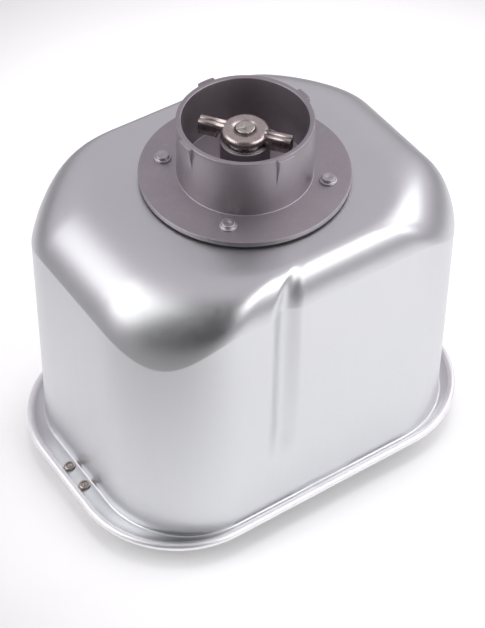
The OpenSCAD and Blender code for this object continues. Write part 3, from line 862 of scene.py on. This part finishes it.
# ---------------------------------------------------------------- camera
# Metres and degrees; azimuth 0 looks along +Y
TARGET_Z = 0.0803
AZIMUTH, ELEVATION, ROLL = -34.31, 45.73, 0.54
DISTANCE = 0.910
SHIFT_RIGHT, SHIFT_UP = -0.00055, -0.0078
LENS = 111.5



def direction(azimuth, elevation):
    """From the object towards that azimuth and elevation, in degrees."""
    a, e = radians(azimuth), radians(elevation)
    return Vector((sin(a) * cos(e), -cos(a) * cos(e), sin(e)))


back = direction(AZIMUTH, ELEVATION)
upright = (-back).to_track_quat("-Z", "Y")
turned = upright @ Euler((0, 0, radians(ROLL))).to_quaternion()
camera = bpy.data.objects.new("camera", bpy.data.cameras.new("camera"))
bpy.context.scene.collection.objects.link(camera)
camera.rotation_mode = "QUATERNION"
camera.rotation_quaternion = turned
offset = turned @ Vector((SHIFT_RIGHT, SHIFT_UP, 0))
camera.location = Vector((0, 0, TARGET_Z)) + back * DISTANCE + offset
camera.data.lens = LENS
camera.data.sensor_width = 36
camera.data.clip_start, camera.data.clip_end = 0.01, 50
bpy.context.scene.camera = camera


# ---------------------------------------------------------------- floor and light
def distance_share(f, place, near, far):
    """0 within the near distance of a place, 1 beyond the far one."""
    reach = f.add("ShaderNodeVectorMath", operation="DISTANCE")
    reach.inputs[1].default_value = place
    f.join(f.coords, reach.inputs[0])
    return f.ramp(reach.outputs["Value"], near, far)


def floor():
    """A floor with a painted pool of light round the object, white and glowing so that its shadow hardly
    shows, and painted shade farther off, grey, where only metal mirrors it.
    """
    bm = bmesh.new()
    bmesh.ops.create_circle(bm, cap_ends=True, radius=4.0, segments=96)
    mesh = bpy.data.meshes.new("floor")
    bm.to_mesh(mesh)
    bm.free()
    f = Finish("floor with painted glow and shade").set(Metallic=0.0)
    f.surface.inputs["Specular IOR Level"].default_value = 0.1
    f.surface.inputs["Roughness"].default_value = 0.9
    # Painted light and shade: white with a glow near these places, grey farther off
    painted_shade_behind = distance_share(f, (0.08, 0.07, 0), 0.20, 0.42)
    painted_shade_beside = distance_share(f, (0.13, -0.27, 0), 0.12, 0.36)
    share = f.maths("MINIMUM", painted_shade_behind, painted_shade_beside)
    f.drive("Base Color", f.mix(share, (0.93, 0.93, 0.93), (0.38, 0.38, 0.38)))
    # The glow is painted light: the floor shines round the object to wash out the object's shadow
    f.surface.inputs["Emission Color"].default_value = (1, 1, 1, 1)
    f.drive("Emission Strength", f.ramp(share, 0, 1, 0.18, 0.0))
    mesh.materials.append(f.material)
    ground = bpy.data.objects.new("floor", mesh)
    bpy.context.scene.collection.objects.link(ground)


floor()


def panel(name, azimuth, elevation, distance, width, height, power):
    """A soft box that faces the object from that direction."""
    data = bpy.data.lights.new(name, "AREA")
    data.shape = "RECTANGLE"
    data.size, data.size_y = width, height
    data.energy = power
    light = bpy.data.objects.new(name, data)
    bpy.context.scene.collection.objects.link(light)
    away = direction(azimuth, elevation)
    light.location = Vector((0, 0, 0.1)) + away * distance
    light.rotation_mode = "QUATERNION"
    light.rotation_quaternion = (-away).to_track_quat("-Z", "Y")
    light.visible_camera = False


panel("left box", -106, 36, 1.6, 1.45, 1.2, 10)
panel("right box", 30, 36, 1.6, 1.4, 1.0, 9)
panel("side box", 88, 34, 1.8, 0.9, 0.9, 5)


def pool(name, place, spread, softness, power, colour):
    """A soft pool of light on the floor, from right above, that leaves no glint."""
    data = bpy.data.lights.new(name, "SPOT")
    data.energy = power
    data.color = colour
    data.spot_size = radians(spread)
    data.spot_blend = 1.0
    data.shadow_soft_size = softness
    light = bpy.data.objects.new(name, data)
    bpy.context.scene.collection.objects.link(light)
    light.location = place
    light.visible_camera = False
    light.visible_glossy = False


pool("floor pool", (0.10, -0.02, 1.5), 40, 0.30, 22, (0.96, 0.99, 1.0))


# The dark side of the studio, in degrees: its middle, and where it fades out
DARK_AZIMUTH, DARK_ELEVATION = -42, 28
DARK_INNER, DARK_OUTER = 32, 52


def studio():
    """A grey studio, darker on the side of it that the camera stands in."""
    world = bpy.data.worlds.new("studio")
    bpy.context.scene.world = world
    world.use_nodes = True
    tree = world.node_tree
    tree.nodes.clear()
    out = tree.nodes.new("ShaderNodeOutputWorld")
    light = tree.nodes.new("ShaderNodeBackground")
    coords = tree.nodes.new("ShaderNodeTexCoord")
    toward = tree.nodes.new("ShaderNodeVectorMath")
    toward.operation = "DOT_PRODUCT"
    toward.inputs[1].default_value = direction(DARK_AZIMUTH, DARK_ELEVATION)
    tree.links.new(coords.outputs["Generated"], toward.inputs[0])
    share = tree.nodes.new("ShaderNodeMapRange")
    share.interpolation_type = "SMOOTHSTEP"
    share.inputs["From Min"].default_value = cos(radians(DARK_OUTER))
    share.inputs["From Max"].default_value = cos(radians(DARK_INNER))
    tree.links.new(toward.outputs["Value"], share.inputs["Value"])
    mix = tree.nodes.new("ShaderNodeMix")
    mix.data_type = "RGBA"
    mix.inputs[6].default_value = (0.62, 0.58, 0.625, 1)
    mix.inputs[7].default_value = (0.05, 0.05, 0.05, 1)
    tree.links.new(share.outputs["Result"], mix.inputs[0])
    tree.links.new(mix.outputs[2], light.inputs["Color"])
    light.inputs["Strength"].default_value = 1.0
    tree.links.new(light.outputs["Background"], out.inputs["Surface"])


studio()

bpy.context.scene.view_settings.view_transform = "Standard"
